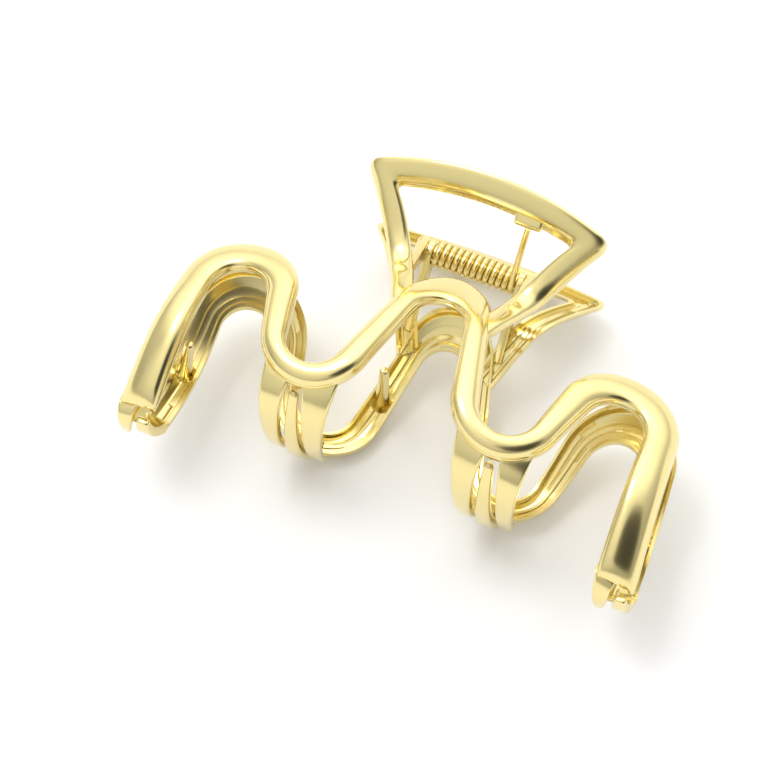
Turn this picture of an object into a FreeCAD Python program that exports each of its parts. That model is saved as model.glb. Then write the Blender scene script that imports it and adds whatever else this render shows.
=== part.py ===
"""Claw clip for hair: two wavy cast jaws on one hinge pin, held shut by a torsion spring.

Built closed and lying on the lower jaw. X runs along the hinge pin, the handles are
towards +Y, the teeth towards -Y and the upper jaw towards +Z. The hinge axis is the
working origin; every node is placed at the end so that the origin of the row is the
centre of the base of the bounding box. Lengths are in millimetres.
"""

import FreeCAD, Part
import math
import os

V = FreeCAD.Vector

DIMENSIONS = [
    # jaw surface: a profile turned about an axis parallel to Y on the other side of the clip
    ("swing_centre", 100), ("sheet_depth", 3.4), ("channel_depth", 1.6), ("rim_width", 0.95),
    ("handle_depth", 2.4), ("sheet_angle", 70),
    # wave outline, upper edge
    ("mid_peak_y", -13.2), ("mid_peak_r", 7.5),
    ("trough_x", 16.3), ("trough_y", -26.1), ("trough_r", 4.75),
    ("end_peak_x", 32.3), ("end_peak_y", -21.2), ("end_peak_r", 9.85),
    ("leg_out_x", 43.9), ("leg_end_y", -43.6),
    # wave outline, lower edge
    ("mid_arch_y", -16.0), ("mid_arch_r", 4.3), ("valley_x", 16.1), ("valley_y", -25.3), ("valley_r", 9.3),
    ("end_arch_x", 32.0), ("end_arch_y", -21.9), ("end_arch_r", 4.75), ("leg_in_x", 37.3),
    # handle frame
    ("handle_x", 20.4), ("handle_y", 5.9), ("handle_top_y", 9.05), ("window_x", 14.8), ("window_y", 4.0),
    ("window_top_y", 5.45),
    ("leg_mid_x", 14.5), ("leg_mid_y", -2.4), ("leg_foot_x", 9.2), ("leg_foot_y", -13.4),
    ("window_mid_x", 9.95), ("window_mid_y", -2.8), ("window_foot_x", 6.2), ("window_foot_y", -10.8),
    # teeth
    ("tooth_depth", 1.9), ("tooth_centre_y", -6.0), ("tooth_centre_z", 1.0), ("tooth_r", 33.0),
    ("tooth_tip_turn", 27.0), ("tooth_root_turn", 29.5),
    ("end_tooth_centre_y", -32.0), ("end_tooth_centre_z", -1.0), ("end_tooth_r", 14.0),
    ("end_tooth_tip_turn", 11.0), ("end_tooth_root_turn", 28.0),
    # hinge, spring and pegs
    ("pin_r", 1.15), ("pin_gap", 0.05), ("pin_half", 9.95), ("head_r", 1.75), ("head_t", 0.6),
    ("eye_r", 1.9), ("inner_lug_x", 7.25), ("inner_lug_t", 1.15), ("outer_lug_x", 8.6), ("outer_lug_t", 1.25),
    ("wire_r", 0.53), ("coil_r", 1.9), ("coil_pitch", 1.09), ("coil_turns", 12),
    ("arm_y", 4.6), ("arm_z", 11.7),
    ("tab_x", 7.3), ("tab_w", 5.0), ("tab_drop", 0.95), ("tab_t", 1.4), ("tab_z", 12.5),
    ("peg_base_r", 1.25), ("peg_tip_r", 0.65), ("peg_len", 15.7),
]

# stations of the jaw profile: position along Y and height of the outer face over the hinge axis
PROFILE = [
    ("top", 10.2, 19.85), ("flare", 5.7, 15.9), ("neck", 0.0, 11.3), ("waist", -5.7, 8.6),
    ("shoulder", -12.0, 12.9), ("belly", -20.0, 16.8), ("bulge", -28.0, 19.3), ("brow", -34.5, 18.6),
    ("shin", -39.0, 16.8), ("foot", -44.5, 14.1),
]

UPPER_TEETH = [
    ("upper_left_end_tooth", -43.8, -41.3, True), ("upper_right_end_tooth", 37.5, 40.1, True),
    ("upper_left_outer_tooth", -21.9, -18.5, False), ("upper_left_inner_tooth", -14.5, -10.8, False),
    ("upper_right_inner_tooth", 10.8, 14.5, False), ("upper_right_outer_tooth", 18.5, 21.9, False),
]
LOWER_TEETH = [
    ("lower_left_end_tooth", -40.7, -37.5, True), ("lower_right_end_tooth", 40.7, 43.8, True),
    ("lower_left_tooth", -17.8, -15.1, False), ("lower_right_tooth", 15.1, 17.8, False),
]
# pegs: place of the base, and lean of the tip towards the middle plane in degrees
PEGS = [(-39.5, -30.8, 9), (-8.2, -22.0, 4), (8.2, -22.0, 4), (39.5, -30.8, 9)]
PEG_SUNK = 0.6
# ends of a lug's root inside its jaw: position along Y and height over the hinge axis
LUG_ROOT_FAR = (-11.6, 10.6)
LUG_ROOT_NEAR = (-5.8, 7.6)
BORE_OVERRUN = 1.0
CHANNEL_OVERRUN = 1
# room kept clear of the handle under the middle arch of the wave
ARCH_MARGIN = 0.5
ARCH_GAP_TOP = 2.2
GAP_LOW = -10
GAP_HIGH = 40
TAB_INTO_BAR = 0.8
TAB_BELOW_WINDOW = 0.2
PLAN_HEIGHT = "40 mm"
PLAN_BELOW = "10 mm"

doc = FreeCAD.newDocument("claw_clip")
sheet = doc.addObject("Spreadsheet::Sheet", "dims")


def fill_sheet():
    """Write the driving sizes into the spreadsheet."""
    rows = list(DIMENSIONS)
    for name, along, height in PROFILE:
        rows.append((name + "_y", along))
        rows.append((name + "_g", height))
    for row, (name, value) in enumerate(rows, start=1):
        sheet.set("A%d" % row, name)
        sheet.set("B%d" % row, str(value))
        sheet.setAlias("B%d" % row, name)
    doc.recompute()


def size(name):
    """Return a size from the spreadsheet."""
    return float(getattr(sheet, name))


def sketch(name, curves, plane="XY", offset=0.0):
    """Add a sketch with the given curves, on a plane parallel to a main plane."""
    item = doc.addObject("Sketcher::SketchObject", name)
    turn = FreeCAD.Rotation()
    base = V(0, 0, offset)
    if plane == "YZ":
        turn = FreeCAD.Rotation(V(0, 1, 0), V(0, 0, 1), V(1, 0, 0), "ZXY")
        base = V(offset, 0, 0)
    item.Placement = FreeCAD.Placement(base, turn)
    item.addGeometry(curves, False)
    return item


def extrusion(name, base, forward, back="0 mm"):
    """Extrude a sketch along its normal by two expressions."""
    item = doc.addObject("Part::Extrusion", name)
    item.Base = base
    item.DirMode = "Normal"
    item.Solid = True
    item.setExpression("LengthFwd", forward)
    item.setExpression("LengthRev", back)
    return item


def boolean(kind, name, first, others):
    """Cut, fuse or intersect objects."""
    if kind == "cut":
        tool = others[0]
        if len(others) > 1:
            tool = doc.addObject("Part::MultiFuse", name + "_tools")
            tool.Shapes = others
        item = doc.addObject("Part::Cut", name)
        item.Base = first
        item.Tool = tool
        return item
    item = doc.addObject("Part::MultiFuse" if kind == "fuse" else "Part::MultiCommon", name)
    item.Shapes = [first] + others
    return item


def mirrored(name, source):
    """Mirror an upper jaw object onto the lower jaw."""
    item = doc.addObject("Part::Mirroring", name)
    item.Source = source
    item.Normal = V(0, 0, 1)
    return item


def profile_curve(drop):
    """Smooth curve through the stations of the jaw profile, moved inwards by a drop."""
    points = [V(size(name + "_y"), size(name + "_g") - drop, 0) for name, _, _ in PROFILE]
    line = Part.BSplineCurve()
    line.interpolate(points)
    return line, points


def sheet_slab(name, outer_drop, inner_drop):
    """Solid between two offsets of the jaw surface."""
    outer, outer_points = profile_curve(outer_drop)
    inner, inner_points = profile_curve(inner_drop)
    top_end = Part.LineSegment(outer_points[0], inner_points[0])
    foot_end = Part.LineSegment(inner_points[-1], outer_points[-1])
    profile = sketch(name + "_profile", [outer, top_end, inner, foot_end], "YZ")
    item = doc.addObject("Part::Revolution", name)
    item.Source = profile
    item.Axis = V(0, 1, 0)
    item.Base = V(0, 0, -size("swing_centre"))
    item.Solid = True
    item.Symmetric = True
    item.setExpression("Angle", "dims.sheet_angle")
    return item


def tangent(first, second, side):
    """Touch points of the crossing tangent of two circles given as (x, y, r)."""
    gap_x = second[0] - first[0]
    gap_y = second[1] - first[1]
    angle = math.atan2(gap_y, gap_x) + side * math.acos((first[2] + second[2]) / math.hypot(gap_x, gap_y))
    away = (math.cos(angle), math.sin(angle))
    start = V(first[0] + first[2] * away[0], first[1] + first[2] * away[1], 0)
    end = V(second[0] - second[2] * away[0], second[1] - second[2] * away[1], 0)
    return start, end


def leg_touch(circle, foot):
    """Touch point of the leg line on the outside of the end circle."""
    gap_x = foot.x - circle[0]
    gap_y = foot.y - circle[1]
    angle = math.atan2(gap_y, gap_x) + math.acos(circle[2] / math.hypot(gap_x, gap_y))
    return V(circle[0] + circle[2] * math.cos(angle), circle[1] + circle[2] * math.sin(angle), 0)


def wave_edge(mid, low, end, foot):
    """Curves of one edge of the wave, right half, from the mid peak to the foot of the leg."""
    crest = V(mid[0], mid[1] + mid[2], 0)
    a, b = tangent(mid, low, 1)
    d, c = tangent(end, low, -1)
    e = leg_touch(end, foot)
    half = math.atan2(a.y - mid[1], a.x) / 2 + math.pi / 4
    mid_point = V(mid[0] + mid[2] * math.cos(half), mid[1] + mid[2] * math.sin(half), 0)
    low_point = V(low[0], low[1] - low[2], 0)
    end_point = V(end[0], end[1] + end[2], 0)
    return [
        ("arc", crest, mid_point, a), ("line", a, b), ("arc", b, low_point, c), ("line", c, d),
        ("arc", d, end_point, e), ("line", e, foot),
    ]


def flip(point):
    """Mirror a point in the middle plane of the clip."""
    return V(-point.x, point.y, point.z)


def to_curves(steps):
    """Turn edge steps of the right half into curves of both halves."""
    curves = []
    for step in steps:
        for points in (step[1:], [flip(point) for point in step[1:]]):
            if step[0] == "arc":
                curves.append(Part.ArcOfCircle(points[0], points[1], points[2]))
            else:
                curves.append(Part.LineSegment(points[0], points[1]))
    return curves


def wave_outline(name, inset):
    """Sketch of the wave seen square on, its edges moved inwards by an inset."""
    upper_foot = V(size("leg_out_x") - inset, size("leg_end_y") + inset, 0)
    lower_foot = V(size("leg_in_x") + inset, size("leg_end_y") + inset, 0)
    upper = wave_edge(
        (0, size("mid_peak_y"), size("mid_peak_r") - inset),
        (size("trough_x"), size("trough_y"), size("trough_r") + inset),
        (size("end_peak_x"), size("end_peak_y"), size("end_peak_r") - inset), upper_foot)
    lower = wave_edge(
        (0, size("mid_arch_y"), size("mid_arch_r") + inset),
        (size("valley_x"), size("valley_y"), size("valley_r") - inset),
        (size("end_arch_x"), size("end_arch_y"), size("end_arch_r") + inset), lower_foot)
    return sketch(name, to_curves(upper + lower + [("line", upper_foot, lower_foot)]))


def fan_outline(name, corner, top, middle, foot):
    """Sketch of a fan with a curved top and bent sides, from the names of its sizes on the right half."""
    right = V(size(corner + "_x"), size(corner + "_y"), 0)
    crest = V(0, size(top), 0)
    bend = V(size(middle + "_x"), size(middle + "_y"), 0)
    end = V(size(foot + "_x"), size(foot + "_y"), 0)
    return sketch(name, [
        Part.ArcOfCircle(flip(right), crest, right), Part.ArcOfCircle(right, bend, end),
        Part.LineSegment(end, flip(end)), Part.ArcOfCircle(flip(end), flip(bend), flip(right)),
    ])


def box(name, low, high):
    """Box between two corners."""
    item = doc.addObject("Part::Box", name)
    item.Length, item.Width, item.Height = [high[i] - low[i] for i in range(3)]
    item.Placement.Base = V(*low)
    return item


def turned(centre, angle, radius):
    """Point at an angle and a radius from a centre."""
    return centre + V(radius * math.cos(angle), radius * math.sin(angle), 0)


def tooth(name, left, right, is_end, is_upper, ribbon):
    """Prong that curves from the lower edge of the wave to the other jaw."""
    prefix = "end_tooth" if is_end else "tooth"
    sign = 1 if is_upper else -1
    centre = V(size(prefix + "_centre_y"), sign * size(prefix + "_centre_z"), 0)
    outer = size(prefix + "_r")
    inner = outer - size("tooth_depth")
    # the tip lies past the middle plane and the root inside the wave
    tip = sign * math.radians(180 + size(prefix + "_tip_turn"))
    root = sign * math.radians(180 - size(prefix + "_root_turn"))
    middle = (tip + root) / 2
    outer_ends = [turned(centre, angle, outer) for angle in (tip, middle, root)]
    inner_ends = [turned(centre, angle, inner) for angle in (root, middle, tip)]
    outline = [
        Part.ArcOfCircle(*outer_ends), Part.LineSegment(outer_ends[-1], inner_ends[0]),
        Part.ArcOfCircle(*inner_ends), Part.LineSegment(inner_ends[-1], outer_ends[0]),
    ]
    prong = extrusion(name + "_prong", sketch(name + "_side", outline, "YZ", left), "%f mm" % (right - left))
    return boolean("cut", name, prong, [ribbon])


def eye_touch(point, side):
    """Touch point, on the eye, of the tangent from a point."""
    eye = size("eye_r")
    angle = math.atan2(point.y, point.x) + side * math.acos(eye / math.hypot(point.x, point.y))
    return V(eye * math.cos(angle), eye * math.sin(angle), 0)


def lug(name, near, thick, bore, is_upper, solids):
    """Tongue from the inside of the jaw to an eye round the hinge pin."""
    sign = 1 if is_upper else -1
    eye = size("eye_r")
    root = [V(along, sign * height, 0) for along, height in (LUG_ROOT_FAR, LUG_ROOT_NEAR)]
    first = eye_touch(root[0], sign)
    last = eye_touch(root[1], -sign)
    # a point of the eye on the side away from the root, so that the arc goes the long way round
    far = V(eye * math.cos(math.radians(37)), -sign * eye * math.sin(math.radians(37)), 0)
    outline = [
        Part.LineSegment(root[0], first), Part.ArcOfCircle(first, far, last), Part.LineSegment(last, root[1]),
        Part.LineSegment(root[1], root[0]),
    ]
    tongue = extrusion(name + "_tongue", sketch(name + "_side", outline, "YZ", near), "%f mm" % thick)
    hole = doc.addObject("Part::Cylinder", name + "_bore")
    hole.Radius = bore
    hole.Height = thick + 2 * BORE_OVERRUN
    hole.Placement = FreeCAD.Placement(V(near - BORE_OVERRUN, 0, 0), FreeCAD.Rotation(V(0, 1, 0), 90))
    return boolean("cut", name, tongue, [hole] + solids)


def cylinder_between(name, start, end, radius):
    """Round bar between two points."""
    item = doc.addObject("Part::Cylinder", name)
    item.setExpression("Radius", radius)
    way = end.sub(start)
    item.Height = way.Length
    item.Placement = FreeCAD.Placement(start, FreeCAD.Rotation(V(0, 0, 1), way))
    return item


def build_upper_sheet():
    """Wave and handle of the upper jaw."""
    slab = sheet_slab("jaw_slab", 0.0, size("sheet_depth"))
    channel_floor = size("sheet_depth") - size("channel_depth")
    deep = sheet_slab("channel_slab", channel_floor, size("sheet_depth") + CHANNEL_OVERRUN)
    thin = sheet_slab("handle_slab", 0.0, size("handle_depth"))
    plan = extrusion("wave_plan", wave_outline("wave_outline", 0.0), PLAN_HEIGHT, PLAN_BELOW)
    groove_sketch = wave_outline("groove_outline", size("rim_width"))
    groove = extrusion("groove_plan", groove_sketch, PLAN_HEIGHT, PLAN_BELOW)
    ribbon = boolean("common", "ribbon", plan, [slab])
    channel = boolean("common", "channel", groove, [deep])
    wave = boolean("cut", "upper_wave", ribbon, [channel])
    fan_sketch = fan_outline("handle_outline", "handle", "handle_top_y", "leg_mid", "leg_foot")
    window_sketch = fan_outline("window_outline", "window", "window_top_y", "window_mid", "window_foot")
    fan = extrusion("handle_plan", fan_sketch, PLAN_HEIGHT, PLAN_BELOW)
    window = extrusion("window_plan", window_sketch, PLAN_HEIGHT, PLAN_BELOW)
    arch = size("mid_arch_r") + ARCH_MARGIN
    gap_low = (-arch, size("leg_foot_y") - 1, GAP_LOW)
    gap_high = (arch, size("mid_peak_y") + ARCH_GAP_TOP, GAP_HIGH)
    gap = box("arch_gap", gap_low, gap_high)
    frame = boolean("cut", "handle_frame", fan, [window, plan, gap])
    handle = boolean("common", "upper_handle", frame, [thin])
    return ribbon, wave, handle


def build_spring():
    """Close-wound coil with a straight arm to each handle."""
    reach = V(size("tab_x"), size("arm_y"), size("arm_z"))
    lean = math.degrees(math.atan2(reach.y, reach.z))
    turns = size("coil_turns") + 2 * lean / 360
    length = turns * size("coil_pitch")
    helix = doc.addObject("Part::Helix", "coil_path")
    helix.setExpression("Radius", "dims.coil_r")
    helix.setExpression("Pitch", "dims.coil_pitch")
    helix.Height = length
    helix.LocalCoord = "Left-handed"
    helix.Placement = FreeCAD.Placement(
        V(-length / 2, 0, 0),
        FreeCAD.Rotation(V(0, 1, 0), 90).multiply(FreeCAD.Rotation(V(0, 0, 1), 270 + lean)))
    doc.recompute()
    path = helix.Shape.Edges[0]
    first, last = sorted([vertex.Point for vertex in helix.Shape.Vertexes], key=lambda point: point.x)
    start_way = path.tangentAt(path.FirstParameter)
    section = doc.addObject("Part::Circle", "wire_section")
    section.setExpression("Radius", "dims.wire_r")
    section.Placement = FreeCAD.Placement(
        path.valueAt(path.FirstParameter), FreeCAD.Rotation(V(0, 0, 1), start_way))
    coil = doc.addObject("Part::Sweep", "coil")
    coil.Sections = [section]
    coil.Spine = (helix, ["Edge1"])
    coil.Solid = True
    coil.Frenet = True
    pieces = []
    for name, point, side in (("upper_arm", last, 1), ("lower_arm", first, -1)):
        tip = V(side * reach.x, reach.y, side * reach.z)
        pieces.append(cylinder_between(name, point, tip, "dims.wire_r - 0.02"))
        knee = doc.addObject("Part::Sphere", name + "_knee")
        knee.setExpression("Radius", "dims.wire_r + 0.02")
        knee.Placement.Base = point
        pieces.append(knee)
    return boolean("fuse", "torsion_spring", coil, pieces)


def build_tabs(upper_handle, lower_handle):
    """Spring tabs under the top bar of each handle."""
    tabs = []
    for name, side, handle in (("upper_spring_tab", 1, upper_handle), ("lower_spring_tab", -1, lower_handle)):
        centre = side * size("tab_x")
        top = size("window_top_y") - TAB_BELOW_WINDOW
        half = size("tab_w") / 2
        low_z, high_z = size("tab_z"), size("tab_z") + size("tab_t")
        lows = (centre - half, top - size("tab_drop"), low_z if side > 0 else -high_z)
        highs = (centre + half, top + TAB_INTO_BAR, high_z if side > 0 else -low_z)
        plate = box(name + "_plate", lows, highs)
        tabs.append(boolean("cut", name, plate, [handle]))
    return tabs


def build_pin():
    """Riveted hinge pin."""
    half = size("pin_half")
    shaft = cylinder_between("pin_shaft", V(-half, 0, 0), V(half, 0, 0), "dims.pin_r")
    heads = []
    for name, start in (("left_head", -half - size("head_t")), ("right_head", half)):
        heads.append(cylinder_between(name, V(start, 0, 0), V(start + size("head_t"), 0, 0), "dims.head_r"))
    return boolean("fuse", "hinge_pin", shaft, heads)


def build_pegs(lower_wave):
    """Tapered pegs on the floor of the lower channel."""
    pegs = []
    for index, (x, y, lean) in enumerate(PEGS, start=1):
        peg = doc.addObject("Part::Cone", "lower_peg_cone_%d" % index)
        peg.setExpression("Radius1", "dims.peg_base_r")
        peg.setExpression("Radius2", "dims.peg_tip_r")
        peg.setExpression("Height", "dims.peg_len")
        floor = surface_height(x, y) - (size("sheet_depth") - size("channel_depth"))
        inwards = lean if x < 0 else -lean
        peg.Placement = FreeCAD.Placement(V(x, y, -floor - PEG_SUNK), FreeCAD.Rotation(V(0, 1, 0), inwards))
        pegs.append(boolean("cut", "lower_peg_%d" % index, peg, [lower_wave]))
    return pegs


def surface_height(x, y):
    """Height of the outer face of the upper jaw at a point in plan, by straight steps of the profile."""
    stations = [(size(n + "_y"), size(n + "_g")) for n, _, _ in PROFILE]
    for (y0, g0), (y1, g1) in zip(stations, stations[1:]):
        if y1 <= y <= y0:
            g = g0 + (g1 - g0) * (y - y0) / (y1 - y0)
            centre = size("swing_centre")
            return math.sqrt((centre + g) ** 2 - x * x) - centre
    raise ValueError("point is off the jaw")


def place_and_export(forms):
    """Place every sub-part so that the origin is the centre of the base, check them and write the files."""
    doc.recompute()
    bounds = FreeCAD.BoundBox()
    for form in forms:
        bounds.add(form.Shape.optimalBoundingBox(False))
    shift = V(-bounds.Center.x, -bounds.Center.y, -bounds.ZMin)
    nodes = []
    for form in forms:
        # other forms are cut with this one, so it stays on the hinge axis and its copy is placed
        node = doc.addObject("Part::Refine", form.Name + "_placed")
        node.Source = form
        name = form.Name
        form.Label = name + "_form"
        node.Label = name
        node.Placement = FreeCAD.Placement(shift, FreeCAD.Rotation())
        nodes.append(node)
    doc.recompute()
    print("hinge axis at", shift, "size", bounds.XLength, bounds.YLength, bounds.ZLength)
    for item in doc.Objects:
        if "Invalid" in item.State or "Error" in item.State:
            raise RuntimeError("%s failed: %s" % (item.Name, item.State))
    os.makedirs("parts", exist_ok=True)
    for node in nodes:
        shape = node.Shape
        if shape.isNull() or not shape.isValid():
            raise RuntimeError("%s has a bad shape" % node.Label)
        print(node.Label, "solids", len(shape.Solids), "volume", round(shape.Volume, 2))
        shape.exportStep("parts/%s.step" % node.Label)


def build_lugs(sources):
    """Two tongues for each jaw; those of the upper jaw stand outside those of the lower jaw."""
    running = size("pin_r") + size("pin_gap")
    rows = (("upper", True, "outer_lug", running), ("lower", False, "inner_lug", size("pin_r")))
    lugs = []
    for jaw, is_upper, prefix, bore in rows:
        thick = size(prefix + "_t")
        right = size(prefix + "_x")
        for word, near in (("left", -right - thick), ("right", right)):
            lugs.append(lug("%s_%s_lug" % (jaw, word), near, thick, bore, is_upper, sources[jaw]))
    return lugs


def main():
    """Build, place, check and export every node."""
    fill_sheet()
    upper_ribbon, upper_wave, upper_handle = build_upper_sheet()
    lower_ribbon = mirrored("lower_ribbon", upper_ribbon)
    lower_wave = mirrored("lower_wave", upper_wave)
    lower_handle = mirrored("lower_handle", upper_handle)
    nodes = [upper_wave, upper_handle, lower_wave, lower_handle]
    for names, is_upper, ribbon in ((UPPER_TEETH, True, upper_ribbon), (LOWER_TEETH, False, lower_ribbon)):
        for name, left, right, is_end in names:
            nodes.append(tooth(name, left, right, is_end, is_upper, ribbon))
    nodes += build_lugs({"upper": [upper_ribbon, upper_handle], "lower": [lower_ribbon, lower_handle]})
    nodes += build_tabs(upper_handle, lower_handle)
    nodes.append(build_pin())
    nodes.append(build_spring())
    nodes += build_pegs(lower_wave)
    place_and_export(nodes)


main()
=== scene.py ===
"""Looks of a metal claw clip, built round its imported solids.

Lengths are in millimetres from the hinge axis until a mesh is made. X runs along the hinge, Y from the
teeth to the handles and Z from the lower jaw to the upper jaw.
"""

import bisect
import logging
import math
from dataclasses import dataclass, field
from enum import Enum
from typing import ClassVar

import bmesh
import bpy
from mathutils import Matrix, Vector

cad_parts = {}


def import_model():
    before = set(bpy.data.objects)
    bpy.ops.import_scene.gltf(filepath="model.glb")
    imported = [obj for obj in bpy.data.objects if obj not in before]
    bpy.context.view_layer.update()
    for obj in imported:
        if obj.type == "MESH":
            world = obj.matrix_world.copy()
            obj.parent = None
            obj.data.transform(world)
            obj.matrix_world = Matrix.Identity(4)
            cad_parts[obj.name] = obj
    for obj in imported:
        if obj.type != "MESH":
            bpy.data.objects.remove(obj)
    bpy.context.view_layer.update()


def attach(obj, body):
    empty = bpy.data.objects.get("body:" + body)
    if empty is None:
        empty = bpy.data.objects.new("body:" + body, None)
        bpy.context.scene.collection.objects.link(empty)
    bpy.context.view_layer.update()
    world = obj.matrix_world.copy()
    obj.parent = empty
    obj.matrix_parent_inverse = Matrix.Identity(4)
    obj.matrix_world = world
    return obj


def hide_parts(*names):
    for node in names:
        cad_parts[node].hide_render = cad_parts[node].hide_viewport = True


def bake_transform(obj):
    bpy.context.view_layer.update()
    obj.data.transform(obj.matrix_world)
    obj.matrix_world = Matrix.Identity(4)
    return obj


LOG = logging.getLogger("claw_clip")
MM = 0.001
HINGE = Vector((0.0, 18.475, 19.130))
SWING_CENTRE = 100.0

Point = tuple[float, float]
Circle = tuple[float, float, float]
Ring = list[Vector]


class Side(Enum):
    """Which jaw a piece belongs to; the value is its sign along Z."""

    UPPER = 1
    LOWER = -1

    @property
    def body(self) -> str:
        """Name of the rigid body the piece rides on."""
        return "upper_jaw" if self is Side.UPPER else "lower_jaw"

    @property
    def prefix(self) -> str:
        """Start of the names of the pieces of this jaw."""
        return self.name.lower()


@dataclass(frozen=True)
class Sweep:
    """Arc that a prong follows, seen along the hinge.

    Args:
        hub: Y and Z of the middle of the arc.
        radius: Radius of the back of the prong.
        first: Angle at the root, in degrees.
        last: Angle at the tip, in degrees.
        blend: Share of the length over which the prong leaves the ribbon.
    """

    hub: Point
    radius: float
    first: float
    last: float
    blend: float


class Reach(Enum):
    """Sort of prong: under a trough of the wave, or at the foot of an end leg."""

    TROUGH = Sweep((-6.0, 1.0), 33.0, 155.0, 206.5, 0.10)
    END = Sweep((-32.0, -1.0), 14.0, 157.0, 191.0, 0.24)


# ---------------------------------------------------------------- finishes


@dataclass(frozen=True)
class PlatedFinish:
    """Polished plating over metal.

    Args:
        name: Material name.
        colour: Linear base colour.
        roughness: Roughness of clean plating.
        ripple: Strength of the casting's slight waviness.
    """

    name: str
    colour: tuple[float, float, float]
    roughness: float
    ripple: float

    def build(self, ripple_group: bpy.types.ShaderNodeTree) -> bpy.types.Material:
        """Make the material.

        Args:
            ripple_group: Shared surface effect.

        Returns:
            The finished material.
        """
        material = bpy.data.materials.new(self.name)
        material.use_nodes = True
        nodes, links = material.node_tree.nodes, material.node_tree.links
        shader = nodes["Principled BSDF"]
        shader.inputs["Metallic"].default_value = 1.0
        effect = nodes.new("ShaderNodeGroup")
        effect.node_tree = ripple_group
        effect.inputs["Colour"].default_value = (*self.colour, 1.0)
        effect.inputs["Roughness"].default_value = self.roughness
        effect.inputs["Ripple"].default_value = self.ripple
        links.new(effect.outputs["Colour"], shader.inputs["Base Color"])
        links.new(effect.outputs["Roughness"], shader.inputs["Roughness"])
        links.new(effect.outputs["Normal"], shader.inputs["Normal"])
        return material


@dataclass(frozen=True)
class MatteFinish:
    """Plain matte surface for the studio floor.

    Args:
        name: Material name.
        colour: Linear colour.
        roughness: Roughness.
    """

    name: str
    colour: tuple[float, float, float]
    roughness: float = 0.9

    def build(self) -> bpy.types.Material:
        """Make the material.

        Returns:
            The finished material.
        """
        material = bpy.data.materials.new(self.name)
        material.use_nodes = True
        shader = material.node_tree.nodes["Principled BSDF"]
        shader.inputs["Base Color"].default_value = (*self.colour, 1.0)
        shader.inputs["Roughness"].default_value = self.roughness
        return material


CASTING = PlatedFinish("pale_gold_casting", (0.85, 0.72, 0.33), 0.16, 0.22)
WIRE = PlatedFinish("pale_gold_wire", (0.84, 0.69, 0.31), 0.16, 0.1)
FLOOR = MatteFinish("studio_floor", (0.92, 0.92, 0.92))


def new_node(nodes: bpy.types.Nodes, kind: str, values: dict[str, float]) -> bpy.types.Node:
    """Add a node and set its inputs.

    Args:
        nodes: Nodes of the tree.
        kind: Type of the node.
        values: Value of each input that isn't left as it is.

    Returns:
        The new node.
    """
    node = nodes.new(kind)
    for name, value in values.items():
        node.inputs[name].default_value = value
    return node


def plating_effect() -> bpy.types.ShaderNodeTree:
    """Build the shared effect: slight waviness of polished plating and faint smudges.

    Returns:
        The shader node group.
    """
    tree = bpy.data.node_groups.new("plating_surface", "ShaderNodeTree")
    colour, number, direction = "NodeSocketColor", "NodeSocketFloat", "NodeSocketVector"
    for name, kind in (("Colour", colour), ("Roughness", number), ("Ripple", number)):
        tree.interface.new_socket(name, in_out="INPUT", socket_type=kind)
    for name, kind in (("Colour", colour), ("Roughness", number), ("Normal", direction)):
        tree.interface.new_socket(name, in_out="OUTPUT", socket_type=kind)
    nodes, links = tree.nodes, tree.links
    entry, leave = nodes.new("NodeGroupInput"), nodes.new("NodeGroupOutput")
    place = nodes.new("ShaderNodeTexCoord")
    waves = new_node(nodes, "ShaderNodeTexNoise", {"Scale": 260.0, "Detail": 2.0})
    bump = new_node(nodes, "ShaderNodeBump", {"Distance": 0.00012})
    smudge = new_node(nodes, "ShaderNodeTexNoise", {"Scale": 90.0, "Detail": 5.0})
    dulling = {"From Min": 0.35, "From Max": 0.75, "To Min": 0.85, "To Max": 1.35}
    gain = new_node(nodes, "ShaderNodeMapRange", dulling)
    product = nodes.new("ShaderNodeMath")
    product.operation = "MULTIPLY"
    faint = new_node(nodes, "ShaderNodeMapRange", {"From Min": 0.5, "From Max": 0.9, "To Max": 0.18})
    tint = nodes.new("ShaderNodeMix")
    tint.data_type = "RGBA"
    tint.inputs["B"].default_value = (0.72, 0.55, 0.20, 1.0)
    for node in (waves, smudge):
        links.new(place.outputs["Object"], node.inputs["Vector"])
    links.new(waves.outputs["Fac"], bump.inputs["Height"])
    links.new(entry.outputs["Ripple"], bump.inputs["Strength"])
    links.new(smudge.outputs["Fac"], gain.inputs["Value"])
    links.new(entry.outputs["Roughness"], product.inputs[0])
    links.new(gain.outputs["Result"], product.inputs[1])
    links.new(smudge.outputs["Fac"], faint.inputs["Value"])
    links.new(faint.outputs["Result"], tint.inputs["Factor"])
    links.new(entry.outputs["Colour"], tint.inputs["A"])
    links.new(tint.outputs["Result"], leave.inputs["Colour"])
    links.new(product.outputs["Value"], leave.inputs["Roughness"])
    links.new(bump.outputs["Normal"], leave.inputs["Normal"])
    return tree


# ---------------------------------------------------------------- shapes


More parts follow.
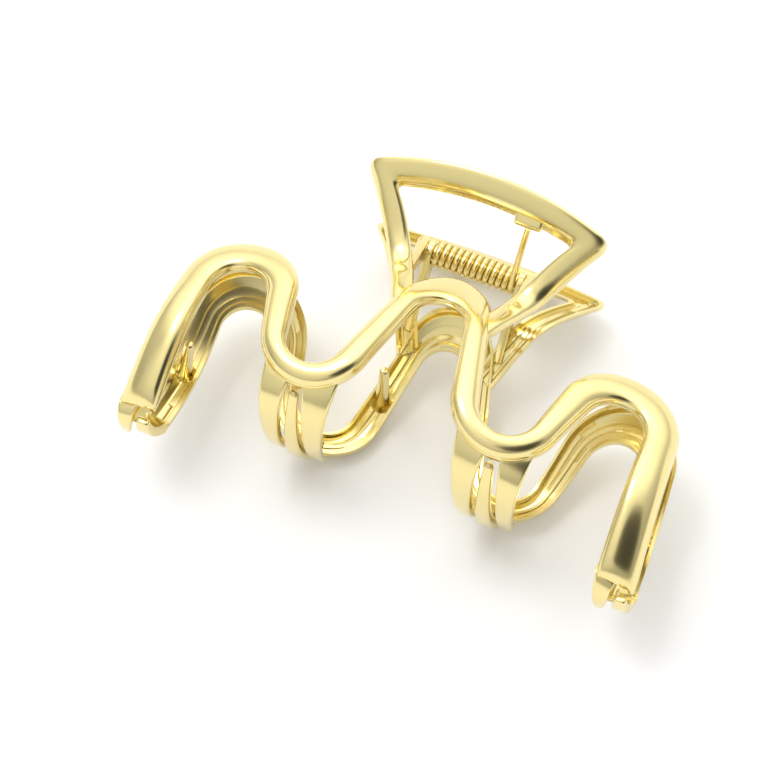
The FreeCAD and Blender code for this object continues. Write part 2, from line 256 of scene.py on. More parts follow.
class JawSurface:
    """Outer face of a jaw: a profile turned about an axis on the other side of the clip."""

    STATIONS: list[Point] = [
        (-46.0, 13.4), (-43.7, 14.4), (-39.0, 16.8), (-34.5, 18.5), (-28.0, 19.2), (-20.0, 16.8),
        (-12.0, 12.9), (-5.7, 8.7), (0.0, 11.2), (5.7, 15.9), (9.05, 18.9), (12.0, 21.4),
    ]
    PASSES = 60

    def __init__(self) -> None:
        """Find the slope at each station that leaves no jump in curvature."""
        self.along = [station[0] for station in self.STATIONS]
        self.height = [station[1] for station in self.STATIONS]
        spans = [b - a for a, b in zip(self.along, self.along[1:])]
        steps = [(b - a) / span for a, b, span in zip(self.height, self.height[1:], spans)]
        self.slope = [steps[0], *[(a + b) / 2 for a, b in zip(steps, steps[1:])], steps[-1]]
        for _ in range(self.PASSES):
            # each pass moves the slopes towards those of a curve with no jump in curvature
            for i in range(1, len(self.along) - 1):
                before, after = spans[i - 1], spans[i]
                pull = 3 * (steps[i - 1] / before + steps[i] / after)
                pull -= self.slope[i - 1] / before + self.slope[i + 1] / after
                self.slope[i] = pull / (2 / before + 2 / after)

    def profile(self, y: float) -> float:
        """Height of the outer face over the hinge axis in the middle of the clip.

        Args:
            y: Position from the hinge, minus towards the teeth.

        Returns:
            The height.
        """
        place = min(max(bisect.bisect_right(self.along, y) - 1, 0), len(self.along) - 2)
        span = self.along[place + 1] - self.along[place]
        t = (y - self.along[place]) / span
        h0, h1 = self.height[place], self.height[place + 1]
        m0, m1 = self.slope[place] * span, self.slope[place + 1] * span
        return ((2 * t**3 - 3 * t**2 + 1) * h0 + (t**3 - 2 * t**2 + t) * m0
                + (3 * t**2 - 2 * t**3) * h1 + (t**3 - t**2) * m1)

    def point(self, x: float, y: float, depth: float, side: Side) -> Vector:
        """Point at a depth below the outer face.

        Args:
            x: Position along the hinge.
            y: Position from the hinge, minus towards the teeth.
            depth: Distance below the outer face.
            side: Jaw.

        Returns:
            The point in millimetres from the hinge axis.
        """
        radius = SWING_CENTRE + self.profile(y) - depth
        return Vector((x, y, side.value * (math.sqrt(radius * radius - x * x) - SWING_CENTRE)))


SURFACE = JawSurface()
VALLEY = (16.1, -25.3, 9.3)
FOOT_LINE = -43.6
FOOT_CROWDING = 1.7
RIM_MIDDLE = 2.4
CROWN_POWER = 0.84
FACE_SHARE = 0.955
FACE_SAMPLES = 28
PINCH_WIDTH = 0.10
PINCH_DEPTH = 1.9
PINCH_REACH = 2.3
SINK_LENGTH = 7.0
SINK_POWER = 0.7


def arc_points(centre: Point, radius: float, first: float, last: float, count: int) -> list[Point]:
    """Points of an arc between two angles in degrees."""
    angles = [math.radians(first + (last - first) * i / count) for i in range(count + 1)]
    return [(centre[0] + radius * math.cos(a), centre[1] + radius * math.sin(a)) for a in angles]


def line_points(start: Point, end: Point, count: int, crowding: float = 1.0) -> list[Point]:
    """Points of a line, evenly spaced or crowded towards its end."""
    shares = [1 - (1 - i / count) ** crowding for i in range(count + 1)]
    return [(start[0] + (end[0] - start[0]) * t, start[1] + (end[1] - start[1]) * t) for t in shares]


def bend_points(start: Point, corner: Point, end: Point, count: int) -> list[Point]:
    """Points of a smooth bend round a corner.

    Args:
        start: Where the bend starts.
        corner: Corner that the bend rounds.
        end: Where the bend ends.
        count: Steps of the bend.

    Returns:
        The points, both ends included.
    """
    points = []
    for i in range(count + 1):
        t = i / count
        a, b, c = (1 - t) ** 2, 2 * t * (1 - t), t * t
        points.append((a * start[0] + b * corner[0] + c * end[0], a * start[1] + b * corner[1] + c * end[1]))
    return points


def join(runs: list[list[Point]]) -> list[Point]:
    """Join runs of points that share their end points.

    Args:
        runs: Runs in order.

    Returns:
        One path.
    """
    path = list(runs[0])
    for run in runs[1:]:
        path.extend(run[1:])
    return path


def both_halves(right: list[Point]) -> list[Point]:
    """Path over both halves of the clip from its right half, which starts in the middle plane."""
    return [(-x, y) for x, y in reversed(right[1:])] + right


@dataclass(frozen=True)
class WaveEdge:
    """One edge of the wave as arcs joined by straight runs.

    Args:
        mid: Centre and radius of the middle arc.
        low: Centre and radius of the trough arc.
        end: Centre and radius of the outer arc.
        foot: End of the leg.
    """

    mid: Circle
    low: Circle
    end: Circle
    foot: Point

    @staticmethod
    def crossing(first: Circle, second: Circle, turn: int) -> float:
        """Angle of the crossing tangent of two circles.

        Args:
            first: Circle whose angle is found.
            second: Circle on the other side of the tangent.
            turn: 1 or -1, which of the two tangents.

        Returns:
            The angle at the first circle, in degrees.
        """
        across, along = second[0] - first[0], second[1] - first[1]
        opening = math.acos((first[2] + second[2]) / math.hypot(across, along))
        return math.degrees(math.atan2(along, across) + turn * opening)

    def path(self, counts: tuple[int, int, int, int, int, int]) -> list[Point]:
        """Points of the whole edge.

        Args:
            counts: Steps of the middle arc, run, trough arc, run, outer arc and leg.

        Returns:
            Points from the left foot to the right foot.
        """
        mid_turn = self.crossing(self.mid, self.low, 1)
        end_turn = self.crossing(self.end, self.low, -1) % 360
        across, along = self.foot[0] - self.end[0], self.foot[1] - self.end[1]
        leg_opening = math.acos(self.end[2] / math.hypot(across, along))
        leg_turn = math.degrees(math.atan2(along, across) + leg_opening)
        first = arc_points(self.mid[:2], self.mid[2], 90, mid_turn, counts[0])
        trough = arc_points(self.low[:2], self.low[2], mid_turn + 180, end_turn + 180, counts[2])
        last = arc_points(self.end[:2], self.end[2], end_turn, leg_turn, counts[4])
        return both_halves(join([
            first, line_points(first[-1], trough[0], counts[1]), trough,
            line_points(trough[-1], last[0], counts[3]), last,
            line_points(last[-1], self.foot, counts[5], FOOT_CROWDING)]))


def skin(name: str, rings: list[Ring], closed: bool = False) -> bpy.types.Object:
    """Mesh through rings of points, with its ends filled.

    Args:
        name: Object name.
        rings: Rings with the same number of points, in millimetres from the hinge axis.
        closed: True if the last ring joins the first.

    Returns:
        The new object.
    """
    round_count, ring_count = len(rings[0]), len(rings)
    rows = ring_count if closed else ring_count - 1
    mesh = bmesh.new()
    bmesh.ops.create_grid(mesh, x_segments=round_count, y_segments=rows, size=1.0)
    for vertex in mesh.verts:
        i = round((vertex.co.x + 1) / 2 * round_count) % round_count
        j = round((vertex.co.y + 1) / 2 * rows) % ring_count
        vertex.co = (rings[j][i] + HINGE) * MM
    bmesh.ops.remove_doubles(mesh, verts=mesh.verts, dist=1e-7)
    rims = [edge for edge in mesh.edges if edge.is_boundary]
    if rims:
        bmesh.ops.holes_fill(mesh, edges=rims, sides=0)
    return finish_mesh(name, mesh)


def place_vertices(mesh: bmesh.types.BMesh) -> None:
    """Move a mesh from millimetres round the hinge axis to metres in the clip's frame."""
    for vertex in mesh.verts:
        vertex.co = (vertex.co + HINGE) * MM


def finish_mesh(name: str, mesh: bmesh.types.BMesh, smooth_angle: float = 40.0) -> bpy.types.Object:
    """Turn a bmesh into a smooth-shaded object.

    Args:
        name: Object name.
        mesh: Geometry in metres.
        smooth_angle: Edges sharper than this stay crisp, in degrees.

    Returns:
        The new object.
    """
    bmesh.ops.recalc_face_normals(mesh, faces=mesh.faces)
    limit = math.radians(smooth_angle)
    for face in mesh.faces:
        face.smooth = True
    for edge in mesh.edges:
        edge.smooth = not (edge.is_manifold and edge.calc_face_angle(0.0) > limit)
    data = bpy.data.meshes.new(name)
    mesh.to_mesh(data)
    mesh.free()
    item = bpy.data.objects.new(name, data)
    bpy.context.scene.collection.objects.link(item)
    return item


@dataclass(frozen=True)
class ChannelSection:
    """Section of a cast ribbon: a rounded outer face with a channel behind it.

    Args:
        crown: Height of the rounded outer face.
        depth: Whole depth.
        floor: Depth of the channel floor below the outer face.
        lip: Width of each rim as a share of the half width.
    """

    crown: float
    depth: float
    floor: float
    lip: float

    def points(self) -> list[Point]:
        """Closed section as points of place across, from -1 to 1, and depth.

        Returns:
            The points, the outer face first.
        """
        crown, depth, floor, lip = self.crown, self.depth, self.floor, self.lip
        section = []
        for i in range(FACE_SAMPLES + 1):
            angle = math.pi * (1 - i / FACE_SAMPLES)
            across = math.copysign(abs(math.cos(angle)) ** CROWN_POWER, math.cos(angle))
            section.append((FACE_SHARE * across, crown * (1 - max(0.0, math.sin(angle)) ** CROWN_POWER)))
        flange = [(0.965, crown + 0.1), (0.995, crown + 0.18), (1.0, crown + 0.3), (1.0, depth - 0.15),
                  (0.985, depth)]
        inside = [(1 - lip, depth), (1 - lip * 1.12, depth - 0.12),
                  (1 - lip * 1.3, depth - (depth - floor) * 0.5), (1 - lip * 1.5, floor + 0.22),
                  (1 - lip * 1.85, floor)]
        groove = [(0.30, floor), (0.25, floor - 0.12), (0.12, floor - 0.16)]
        right = flange + inside + groove
        return section + right + [(0.0, floor - 0.16)] + [(-x, d) for x, d in reversed(right)]


WAVE_SECTION = ChannelSection(2.0, 3.3, 1.75, 0.2)
HANDLE_SECTION = ChannelSection(1.25, 2.4, 1.5, 0.28)


def ribbon_rings(lower: list[Point], upper: list[Point], section: list[Point], side: Side,
                 foot_sink: float = 0.0, round_off: float = 0.0) -> list[Ring]:
    """Rings of a ribbon between two edges.

    Args:
        lower: Points of one edge.
        upper: Matching points of the other edge.
        section: Section of the ribbon.
        side: Jaw.
        foot_sink: Extra depth of both ends, where they pass behind another part.
        round_off: Length of the rounding of both ends.

    Returns:
        One ring for each pair of edge points.
    """
    rings = []
    run = [0.0]
    for (a, b), (c, d) in zip(zip(lower, upper), zip(lower[1:], upper[1:])):
        across, along = (a[0] + b[0] - c[0] - d[0]) / 2, (a[1] + b[1] - c[1] - d[1]) / 2
        run.append(run[-1] + math.hypot(across, along))
    for (low, high), place in zip(zip(lower, upper), run):
        gap = min(place, run[-1] - place)
        pinch = 0.0
        if round_off and gap < round_off:
            pinch = 1 - math.sqrt(1 - (1 - gap / round_off) ** 2)
        sink = foot_sink * max(0.0, 1 - gap / SINK_LENGTH) ** SINK_POWER if foot_sink else 0.0
        ring = []
        for across, depth in section:
            t = (across * (1 - PINCH_WIDTH * pinch) + 1) / 2
            x, y = low[0] + (high[0] - low[0]) * t, low[1] + (high[1] - low[1]) * t
            inset = pinch * PINCH_DEPTH * max(0.0, 1 - depth / PINCH_REACH)
            ring.append(SURFACE.point(x, y, sink + depth + inset, side))
        rings.append(ring)
    return rings


def rounded_rectangle(width: float, depth: float, radius: float, samples: int = 4) -> list[Point]:
    """Rounded rectangle centred across, running from depth 0 inwards.

    Args:
        width: Size across.
        depth: Size inwards.
        radius: Radius of the corners.
        samples: Steps of each corner.

    Returns:
        The closed outline.
    """
    radius = min(radius, width / 2 - 0.01, depth / 2 - 0.01)
    corners = [(width / 2 - radius, radius, -90), (width / 2 - radius, depth - radius, 0),
               (-width / 2 + radius, depth - radius, 90), (-width / 2 + radius, radius, 180)]
    return [point for x, y, turn in corners
            for point in arc_points((x, y), radius, turn, turn + 90, samples)]


# ---------------------------------------------------------------- pieces


@dataclass
class Piece:
    """One shown piece and the node it stands for.

    Args:
        item: Object.
        node: CAD node.
        body: Rigid body.
        slot: Material slot, which picks the piece's finish.
    """

    item: bpy.types.Object
    node: str
    body: str
    slot: str = "plated_casting"

    def attach(self, materials: dict[str, bpy.types.Material]) -> None:
        """Give the piece its finish and tie it to the frame.

        Args:
            materials: Finish of each material slot.
        """
        self.item.data.materials.append(materials[self.slot])
        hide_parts(self.node)
        if self.slot == "spring_wire":
            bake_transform(self.item)
        else:
            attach(self.item, self.body)


@dataclass
class Wave:
    """Wavy ribbon of one jaw.

    Args:
        side: Jaw.
        handle_edge: Edge on the side of the handle.
        tooth_edge: Edge on the side of the teeth.
        counts: Steps of the arcs and runs of each edge.
        round_off: Length of the rounding of both ends.
    """

    side: Side
    handle_edge: WaveEdge = WaveEdge(
        (0, -13.2, 7.5), (16.3, -26.1, 4.75), (32.3, -21.2, 9.85), (43.9, FOOT_LINE))
    tooth_edge: WaveEdge = WaveEdge((0, -16.0, 4.3), VALLEY, (32.0, -21.9, 4.75), (37.3, FOOT_LINE))
    counts: tuple[int, int, int, int, int, int] = (26, 14, 36, 14, 44, 44)
    round_off: float = 2.7

    def build(self) -> Piece:
        """Build the ribbon.

        Returns:
            The piece.
        """
        upper, lower = self.handle_edge.path(self.counts), self.tooth_edge.path(self.counts)
        rings = ribbon_rings(lower, upper, WAVE_SECTION.points(), self.side, round_off=self.round_off)
        name = self.side.prefix + "_wave"
        return Piece(skin(name + "_ribbon", rings), name, self.side.body)


@dataclass(frozen=True)
class FrameEdge:
    """One edge of a handle frame: leg, corner, top bar, corner, leg.

    Args:
        foot: Lower end of the right leg.
        middle: Point that the bent leg leans towards.
        corner: Sharp corner of the right side.
        crest: Height of the top bar in the middle.
        rounding: Size of the corner's rounding.
    """

    foot: Point
    middle: Point
    corner: Point
    crest: float
    rounding: float

    def path(self, counts: tuple[int, int, int]) -> list[Point]:
        """Points of the whole edge.

        Args:
            counts: Steps of half the top bar, the corner and the leg.

        Returns:
            Points from the left foot to the right foot.
        """
        middle, corner = self.middle, self.corner
        rise = self.crest - corner[1]
        radius = (corner[0] ** 2 + rise**2) / (2 * rise)
        half = math.degrees(math.asin(corner[0] / radius))
        leave = math.degrees(self.rounding / radius)
        bar = arc_points((0, self.crest - radius), radius, 90, 90 - half + leave, counts[0])
        share = self.rounding / math.dist(middle, corner)
        start = (corner[0] + (middle[0] - corner[0]) * share, corner[1] + (middle[1] - corner[1]) * share)
        bend = bend_points(bar[-1], corner, start, counts[1])
        return both_halves(join([bar, bend, bend_points(start, middle, self.foot, counts[2])]))


@dataclass
class Handle:
    """Fan-shaped handle frame of one jaw.

    Args:
        side: Jaw.
        outer: Outer edge.
        inner: Edge of the window.
        counts: Steps of the parts of each edge.
        foot_sink: Extra depth of the feet, which pass behind the wave.
    """

    side: Side
    outer: FrameEdge = FrameEdge((8.3, -15.2), (13.6, -2.6), (21.1, 6.2), 9.05, 2.3)
    inner: FrameEdge = FrameEdge((5.3, -13.0), (9.6, -2.0), (15.1, 4.2), 5.45, 1.3)
    counts: tuple[int, int, int] = (34, 12, 44)
    foot_sink: float = 1.3

    def build(self) -> Piece:
        """Build the frame.

        Returns:
            The piece.
        """
        outer, inner = self.outer.path(self.counts), self.inner.path(self.counts)
        rings = ribbon_rings(inner, outer, HANDLE_SECTION.points(), self.side, foot_sink=self.foot_sink)
        name = self.side.prefix + "_handle"
        return Piece(skin(name + "_frame", rings), name, self.side.body)


@dataclass
class Prong:
    """Curved tooth.

    Args:
        name: CAD node.
        centre: Middle of the tooth along the hinge.
        root: Width at the root.
        tip: Width at the tip.
        reach: Sort of tooth.
        side: Jaw.
        flare: Extra width where the tooth leaves the ribbon.
        lean: How far the tip stands along the hinge from the root.
    """

    ROOT_DEPTH: ClassVar[float] = 2.1
    DEPTH_LOSS: ClassVar[float] = 0.9
    TAPER_POWER: ClassVar[float] = 1.2
    FLARE_SPREAD: ClassVar[float] = 1.6
    TIP_START: ClassVar[float] = 0.965
    TIP_LENGTH: ClassVar[float] = 0.035
    TIP_SHRINK: ClassVar[float] = 0.4
    CORNER: ClassVar[float] = 0.45
    ROOT_INSET: ClassVar[float] = 0.25
    STEPS: ClassVar[int] = 60

    name: str
    centre: float
    root: float
    tip: float
    reach: Reach
    side: Side
    flare: float = 0.0
    lean: float = 0.0

    def root_spot(self, x: float, inward: float) -> Vector:
        """Place, inside the rim of the ribbon, where a line of the tooth starts.

        Args:
            x: Position along the hinge.
            inward: Distance from the back of the tooth.

        Returns:
            The place in millimetres from the hinge axis.
        """
        edge = FOOT_LINE
        if self.reach is Reach.TROUGH:
            edge = VALLEY[1] - math.sqrt(max(VALLEY[2] ** 2 - (abs(x) - VALLEY[0]) ** 2, 0.0))
        spot = SURFACE.point(x, edge, RIM_MIDDLE, self.side)
        return Vector((x, edge + self.ROOT_INSET + inward, spot.z))

    def build(self) -> Piece:
        """Build the tooth.

        Returns:
            The piece.
        """
        sweep = self.reach.value
        rings = []
        for step in range(self.STEPS + 1):
            u = step / self.STEPS
            angle = math.radians(sweep.first + (sweep.last - sweep.first) * u)
            hold = math.exp(-((u / sweep.blend) ** 2))
            flare = self.flare * math.exp(-((u / sweep.blend) ** 2) / self.FLARE_SPREAD)
            width = self.root + (self.tip - self.root) * u**self.TAPER_POWER + flare
            depth = self.ROOT_DEPTH - self.DEPTH_LOSS * u
            end = max(0.0, (u - self.TIP_START) / self.TIP_LENGTH)
            shrink = 1 - self.TIP_SHRINK * end * end
            centre = self.centre + self.lean * u
            ring = []
            for across, inward in rounded_rectangle(width * shrink, depth * shrink, self.CORNER, 6):
                radius = sweep.radius - inward - depth * (1 - shrink) / 2
                x, y = centre + across, sweep.hub[0] + radius * math.cos(angle)
                spot = Vector((x, y, self.side.value * (sweep.hub[1] + radius * math.sin(angle))))
                ring.append(spot.lerp(self.root_spot(x, inward), hold))
            rings.append(ring)
        return Piece(skin(self.name + "_prong", rings), self.name, self.side.body)


@dataclass
class Lug:
    """Tongue that carries the hinge pin.

    Args:
        name: CAD node.
        near: Lower end along the hinge.
        thick: Thickness.
        side: Jaw.
        eye: Radius of the rounded end.
        near_root: Y and Z of the root's end nearer the hinge.
        far_root: Y and Z of the root's other end.
        pad: Extra thickness of the root on each side.
        step: Shift towards the teeth, and outwards, of the root's outer face.
        rounding: Rounding of the edges.
    """

    name: str
    near: float
    thick: float
    side: Side
    eye: float = 1.9
    near_root: Point = (-6.4, 6.3)
    far_root: Point = (-11.0, 9.2)
    pad: float = 0.2
    step: Point = (0.2, 0.5)
    rounding: float = 0.22

    def build(self) -> Piece:
        """Build the tongue.

        Returns:
            The piece.
        """
        mesh = bmesh.new()
        middle = self.near + self.thick / 2
        turn = Matrix.Rotation(math.pi / 2, 4, "Y")
        bmesh.ops.create_cone(mesh, cap_ends=True, segments=48, radius1=self.eye, radius2=self.eye,
                              depth=self.thick, matrix=Matrix.Translation((middle, 0, 0)) @ turn)
        for vertex in bmesh.ops.create_cube(mesh, size=1.0)["verts"]:
            side_x = 1 if vertex.co.x > 0 else -1
            deep = vertex.co.z > 0
            spot = self.near_root if vertex.co.y > 0 else self.far_root
            back, rise = self.step if deep else (0.0, 0.0)
            vertex.co = Vector((middle + side_x * (self.thick / 2 + self.pad), spot[0] - back,
                                self.side.value * (spot[1] + rise)))
        bmesh.ops.delete(mesh, geom=mesh.edges[:] + mesh.faces[:], context="EDGES_FACES")
        hull = bmesh.ops.convex_hull(mesh, input=mesh.verts)
        inside = hull["geom_interior"] + hull["geom_unused"]
        spare = {part for part in inside if isinstance(part, bmesh.types.BMVert)}
        bmesh.ops.delete(mesh, geom=list(spare), context="VERTS")
        bmesh.ops.dissolve_limit(mesh, angle_limit=math.radians(1), verts=mesh.verts, edges=mesh.edges)
        crisp = [edge for edge in mesh.edges if edge.calc_face_angle(0.0) > math.radians(30)]
        bmesh.ops.bevel(mesh, geom=crisp, offset=self.rounding, segments=3, profile=0.5, affect="EDGES",
                        material=-1)
        place_vertices(mesh)
        return Piece(finish_mesh(self.name + "_tongue", mesh), self.name, self.side.body)


@dataclass
class SpringTab:
    """Small plate that the spring's arm presses on.

    Args:
        side: Jaw.
        middle: Distance of its middle from the middle plane.
        widths: Width at its lower and its upper end.
        lower_end: Y and Z of its lower end.
        upper_end: Y and Z of its upper end.
        thick: Thickness.
        rounding: Rounding of the edges.
    """

    side: Side
    middle: float = 7.3
    widths: Point = (4.7, 5.0)
    lower_end: Point = (4.15, 13.1)
    upper_end: Point = (6.6, 14.9)
    thick: float = 1.2
    rounding: float = 0.5

    def build(self) -> Piece:
        """Build the plate.

        Returns:
            The piece.
        """
        mesh = bmesh.new()
        bmesh.ops.create_cube(mesh, size=1.0)
        sign = self.side.value
        for vertex in mesh.verts:
            low = vertex.co.y < 0
            width = self.widths[0] if low else self.widths[1]
            y, z = self.lower_end if low else self.upper_end
            vertex.co = Vector((sign * self.middle + vertex.co.x * width, y,
                                sign * (z + vertex.co.z * self.thick * sign)))
        bmesh.ops.bevel(mesh, geom=mesh.edges[:], offset=self.rounding, segments=5, profile=0.5,
                        affect="EDGES", material=-1)
        place_vertices(mesh)
        name = self.side.prefix + "_spring_tab"
        return Piece(finish_mesh(name + "_plate", mesh), name, self.side.body)


def lathe(name: str, outline: list[Point], base: Vector, turn: Matrix, steps: int = 40) -> bpy.types.Object:
    """Turned shape.

    Args:
        name: Object name.
        outline: Radius and height of points from one end of the axis to the other.
        base: Origin of the shape from the hinge axis.
        turn: Rotation from the Z axis to the axis of the shape.
        steps: Sides of the turn.

    Returns:
        The new object.
    """
    mesh = bmesh.new()
    points = [mesh.verts.new((radius, 0, height)) for radius, height in outline]
    edges = [mesh.edges.new(pair) for pair in zip(points, points[1:])]
    bmesh.ops.spin(mesh, geom=points + edges, cent=(0, 0, 0), axis=(0, 0, 1), angle=math.tau,
                   steps=steps, use_merge=True)
    bmesh.ops.remove_doubles(mesh, verts=mesh.verts, dist=1e-5)
    place = Matrix.Scale(MM, 4) @ Matrix.Translation(base + HINGE) @ turn
    bmesh.ops.transform(mesh, matrix=place, verts=mesh.verts)
    return finish_mesh(name, mesh)


@dataclass
class Pin:
    """Riveted hinge pin.

    Args:
        half: Half of the length between the heads.
        head: Height of each head.
        radius: Radius of the shank.
    """

    half: float = 9.95
    head: float = 0.6
    radius: float = 1.15

    def build(self) -> Piece:
        """Build the pin.

        Returns:
            The piece.
        """
        half, top = self.half, self.half + self.head
        outline = [(0.0, top), (1.1, top - 0.08), (1.55, top - 0.28), (1.75, half + 0.1), (1.7, half),
                   (self.radius, half - 0.02)]
        whole = outline + [(r, -h) for r, h in reversed(outline)]
        turn = Matrix.Rotation(math.pi / 2, 4, "Y")
        return Piece(lathe("hinge_pin_rivet", whole, Vector((0, 0, 0)), turn), "hinge_pin", "lower_jaw")


@dataclass
class Peg:
    """Tapered peg on the floor of the lower channel.

    Args:
        number: Number of the CAD node.
        x: Position along the hinge.
        y: Position from the hinge.
        lean: Lean of the tip towards the middle plane, in degrees.
    """

    OUTLINE: ClassVar[list[Point]] = [
        (0.0, -0.4), (2.0, -0.4), (1.75, 0.1), (1.45, 0.6), (1.3, 1.4), (1.2, 3.0), (0.95, 9.0),
        (0.78, 14.6), (0.68, 15.05), (0.45, 15.2), (0.0, 15.25),
    ]

    number: int
    x: float
    y: float
    lean: float

    def build(self) -> Piece:
        """Build the peg.

        Returns:
            The piece.
        """
        floor = SURFACE.point(self.x, self.y, WAVE_SECTION.floor, Side.LOWER)
        turn = Matrix.Rotation(math.radians(math.copysign(self.lean, -self.x)), 4, "Y")
        name = "lower_peg_%d" % self.number
        return Piece(lathe(name + "_taper", self.OUTLINE, floor, turn, 32), name, "lower_jaw")


@dataclass
class Spring:
    """Close-wound torsion spring with an arm to each handle.

    Args:
        wire: Radius of the wire.
        radius: Radius of the coil at the middle of the wire.
        pitch: Distance between turns.
        whole_turns: Turns of the coil without the part that the arms add.
        arm_tip: End of the upper arm from the hinge axis.
    """

    COIL_STEPS: ClassVar[int] = 420
    ARM_STEPS: ClassVar[int] = 14
    WIRE_SIDES: ClassVar[int] = 14

    wire: float = 0.53
    radius: float = 1.9
    pitch: float = 1.09
    whole_turns: int = 12
    arm_tip: tuple[float, float, float] = (7.3, 4.6, 11.7)

    def centre_line(self) -> list[Vector]:
        """Points of the middle of the wire.

        Returns:
            Points from the lower arm's tip to the upper arm's tip.
        """
        reach = Vector(self.arm_tip)
        lean = math.atan2(reach.y, reach.z)
        turns = self.whole_turns + 2 * lean / math.tau
        length = turns * self.pitch
        coil = []
        for i in range(self.COIL_STEPS + 1):
            u = i / self.COIL_STEPS
            angle = math.pi + lean - u * turns * math.tau
            y, z = self.radius * math.cos(angle), self.radius * math.sin(angle)
            coil.append(Vector((length * (u - 0.5), y, z)))
        low_tip = Vector((-reach.x, reach.y, -reach.z))
        low_arm = [low_tip.lerp(coil[0], i / self.ARM_STEPS) for i in range(self.ARM_STEPS)]
        high_arm = [coil[-1].lerp(reach, i / self.ARM_STEPS) for i in range(1, self.ARM_STEPS + 1)]
        return low_arm + coil + high_arm

    def build(self) -> Piece:
        """Build the spring.

        Returns:
            The piece.
        """
        path = self.centre_line()
        angles = [math.tau * k / self.WIRE_SIDES for k in range(self.WIRE_SIDES)]
        normal = Vector((1, 0, 0))
        rings = []
        for i, spot in enumerate(path):
            way = (path[min(i + 1, len(path) - 1)] - path[max(i - 1, 0)]).normalized()
            normal = (normal - way * normal.dot(way)).normalized()
            other = way.cross(normal)
            rings.append([spot + self.wire * (normal * math.cos(a) + other * math.sin(a)) for a in angles])
        return Piece(skin("torsion_spring_wire", rings), "torsion_spring", "lower_jaw", "spring_wire")


PRONGS = (
    Prong("upper_left_end_tooth", -42.4, 2.9, 1.5, Reach.END, Side.UPPER, 0.6, -0.2),
    Prong("upper_right_end_tooth", 38.9, 3.0, 1.6, Reach.END, Side.UPPER, 0.6, -0.2),
    Prong("upper_left_outer_tooth", -20.2, 3.6, 1.5, Reach.TROUGH, Side.UPPER, 1.2, 0.5),
    Prong("upper_left_inner_tooth", -12.6, 4.0, 1.5, Reach.TROUGH, Side.UPPER, 1.6, -0.5),
    Prong("upper_right_inner_tooth", 12.6, 4.0, 1.5, Reach.TROUGH, Side.UPPER, 1.6, 0.5),
    Prong("upper_right_outer_tooth", 20.2, 3.6, 1.5, Reach.TROUGH, Side.UPPER, 1.2, -0.5),
    Prong("lower_left_end_tooth", -39.1, 3.4, 2.0, Reach.END, Side.LOWER, 0.6),
    Prong("lower_right_end_tooth", 42.2, 3.2, 1.8, Reach.END, Side.LOWER, 0.5),
    Prong("lower_left_tooth", -16.4, 3.2, 1.6, Reach.TROUGH, Side.LOWER, 1.2),
    Prong("lower_right_tooth", 16.4, 3.2, 1.6, Reach.TROUGH, Side.LOWER, 1.2),
)
LUGS = (
    Lug("upper_left_lug", -9.85, 1.25, Side.UPPER), Lug("upper_right_lug", 8.6, 1.25, Side.UPPER),
    Lug("lower_left_lug", -8.4, 1.15, Side.LOWER), Lug("lower_right_lug", 7.25, 1.15, Side.LOWER),
)
PEGS = (Peg(1, -39.5, -30.8, 9), Peg(2, -8.2, -22.0, 4), Peg(3, 8.2, -22.0, 4), Peg(4, 39.5, -30.8, 9))


@dataclass
class Clip:
    """Whole claw clip.

    Args:
        prongs: Teeth.
        lugs: Tongues on the hinge pin.
        pegs: Pegs of the lower jaw.
        pin: Hinge pin.
        spring: Torsion spring.
    """

    prongs: tuple[Prong, ...] = PRONGS
    lugs: tuple[Lug, ...] = LUGS
    pegs: tuple[Peg, ...] = PEGS
    pin: Pin = field(default_factory=Pin)
    spring: Spring = field(default_factory=Spring)

    def pieces(self) -> list[Piece]:
        """Build every piece.

        Returns:
            The pieces, each jaw's ribbon, frame and tab first.
        """
        makers: list[Wave | Handle | SpringTab | Prong | Lug | Peg | Pin | Spring] = []
        for side in Side:
            makers += [Wave(side), Handle(side), SpringTab(side)]
        makers += [*self.prongs, *self.lugs, *self.pegs, self.pin, self.spring]
        return [maker.build() for maker in makers]


# ---------------------------------------------------------------- studio


@dataclass(frozen=True)
class Glow:
    """Brightness of the room by the angle from one direction.

    Args:
        toward: Direction it is centred on.
        stops: Place from 0, straight away from it, to 1, straight towards it, and brightness there.
    """

    toward: tuple[float, float, float]
    stops: tuple[Point, ...]


OVERHEAD = Glow((-0.12, 0.62, 0.78), ((0.0, 0.50), (0.55, 0.60), (0.76, 0.88), (0.90, 1.75), (1.0, 2.4)))
DARK_CARD = Glow((0.60, -0.50, 0.62), ((0.0, 1.0), (0.93, 1.0), (0.965, 0.22), (1.0, 0.12)))
FRONT = Glow((-0.26, -0.75, 0.61), ((0.0, 1.0), (0.86, 1.0), (0.95, 1.6), (1.0, 1.75)))


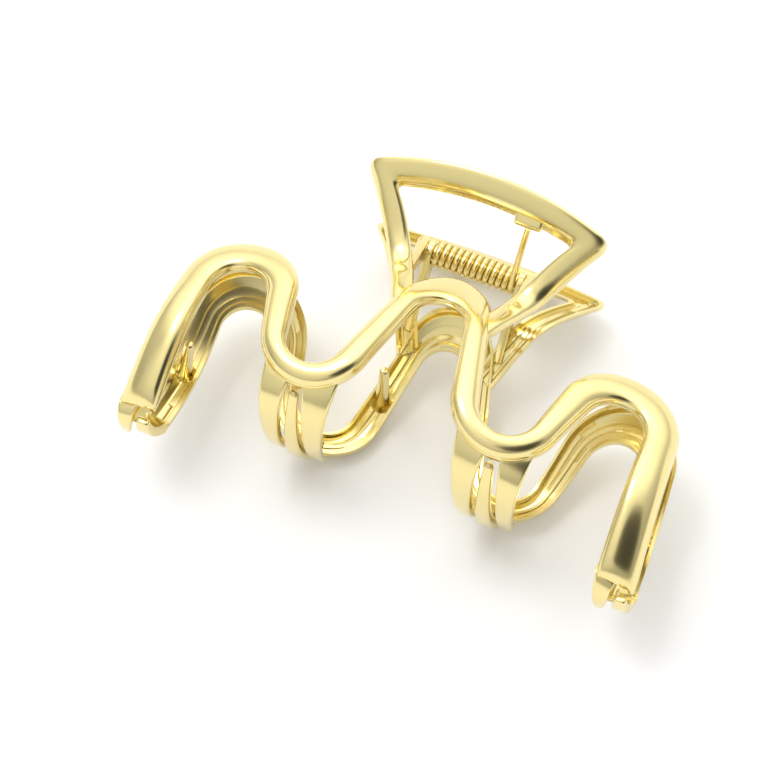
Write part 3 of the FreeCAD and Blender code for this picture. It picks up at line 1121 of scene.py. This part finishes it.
class Studio:
    """Camera, floor and soft lights."""

    EYE = Vector((91.6, -203.7, 533.9))
    RIGHT = Vector((0.9250, 0.3777, -0.0426))
    UP = Vector((-0.3394, 0.8712, 0.3549))
    BACK = Vector((0.1712, -0.3138, 0.9339))
    LENS = 166.96
    SENSOR = 36.0
    CLIP_RANGE = (0.02, 20.0)
    FLOOR_HALF = 4.0
    ROOM_STRENGTH = 0.85

    def camera(self) -> None:
        """Place the camera."""
        data = bpy.data.cameras.new("studio_camera")
        data.lens = self.LENS
        data.sensor_width = self.SENSOR
        data.clip_start, data.clip_end = self.CLIP_RANGE
        item = bpy.data.objects.new("studio_camera", data)
        axes = Matrix((self.RIGHT, self.UP, self.BACK)).transposed().to_4x4()
        item.matrix_world = Matrix.Translation((self.EYE + HINGE) * MM) @ axes
        bpy.context.scene.collection.objects.link(item)
        bpy.context.scene.camera = item

    def floor(self) -> None:
        """Lay a wide pale floor under the clip."""
        mesh = bmesh.new()
        bmesh.ops.create_grid(mesh, x_segments=1, y_segments=1, size=self.FLOOR_HALF)
        item = finish_mesh("studio_floor", mesh)
        item.data.materials.append(FLOOR.build())

    def softbox(self, name: str, spot: tuple[float, float, float], size: Point, power: float) -> None:
        """Hang a softbox that faces the clip.

        Args:
            name: Light name.
            spot: Place in metres.
            size: Width and height in metres.
            power: Power in watts.
        """
        data = bpy.data.lights.new(name, "AREA")
        data.shape = "RECTANGLE"
        data.size, data.size_y = size
        data.energy = power
        item = bpy.data.objects.new(name, data)
        item.location = spot
        item.rotation_mode = "QUATERNION"
        item.rotation_quaternion = (Vector(spot) - HINGE * MM).to_track_quat("Z", "Y")
        bpy.context.scene.collection.objects.link(item)

    @staticmethod
    def multiply(nodes: bpy.types.Nodes) -> bpy.types.Node:
        """Add a node that multiplies two colours.

        Args:
            nodes: Nodes of the tree.

        Returns:
            The new node.
        """
        mix = nodes.new("ShaderNodeMix")
        mix.data_type = "RGBA"
        mix.blend_type = "MULTIPLY"
        mix.inputs["Factor"].default_value = 1.0
        return mix

    @staticmethod
    def shine(tree: bpy.types.NodeTree, place: bpy.types.Node, glow: Glow,
              socket: bpy.types.NodeSocket) -> None:
        """Feed a socket with the brightness of one glow.

        Args:
            tree: Node tree of the room.
            place: Texture Coordinate node.
            glow: Brightness by direction.
            socket: Where the brightness goes.
        """
        nodes, links = tree.nodes, tree.links
        aim = nodes.new("ShaderNodeVectorMath")
        aim.operation = "DOT_PRODUCT"
        aim.inputs[1].default_value = Vector(glow.toward).normalized()
        spread = new_node(nodes, "ShaderNodeMapRange", {"From Min": -1.0})
        ramp = nodes.new("ShaderNodeValToRGB")
        while len(ramp.color_ramp.elements) < len(glow.stops):
            ramp.color_ramp.elements.new(0.5)
        for stop, (position, level) in zip(ramp.color_ramp.elements, glow.stops):
            stop.position = position
            stop.color = (level, level, level, 1)
        links.new(place.outputs["Generated"], aim.inputs[0])
        links.new(aim.outputs["Value"], spread.inputs["Value"])
        links.new(spread.outputs["Result"], ramp.inputs["Fac"])
        links.new(ramp.outputs["Color"], socket)

    def sky(self) -> None:
        """Fill the room with soft light: bright overhead and in front, with one dark card."""
        world = bpy.data.worlds.new("studio_room")
        world.use_nodes = True
        bpy.context.scene.world = world
        tree = world.node_tree
        nodes, links = tree.nodes, tree.links
        place = nodes.new("ShaderNodeTexCoord")
        product, second = self.multiply(nodes), self.multiply(nodes)
        self.shine(tree, place, OVERHEAD, product.inputs["A"])
        self.shine(tree, place, DARK_CARD, product.inputs["B"])
        self.shine(tree, place, FRONT, second.inputs["B"])
        links.new(product.outputs["Result"], second.inputs["A"])
        links.new(second.outputs["Result"], nodes["Background"].inputs["Color"])
        nodes["Background"].inputs["Strength"].default_value = self.ROOM_STRENGTH

    def build(self) -> None:
        """Set up the studio."""
        self.camera()
        self.floor()
        self.softbox("key_softbox", (-0.30, 0.10, 0.95), (0.35, 0.35), 2.5)
        self.sky()
        bpy.context.scene.view_settings.view_transform = "Standard"


def main() -> None:
    """Build the scene."""
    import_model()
    effect = plating_effect()
    materials = {"plated_casting": CASTING.build(effect), "spring_wire": WIRE.build(effect)}
    for piece in Clip().pieces():
        piece.attach(materials)
        LOG.info("%s stands for %s on %s", piece.item.name, piece.node, piece.body)
    Studio().build()
    LOG.info("clip built")


if __name__ == "__main__":
    logging.basicConfig(level=logging.INFO)
    main()
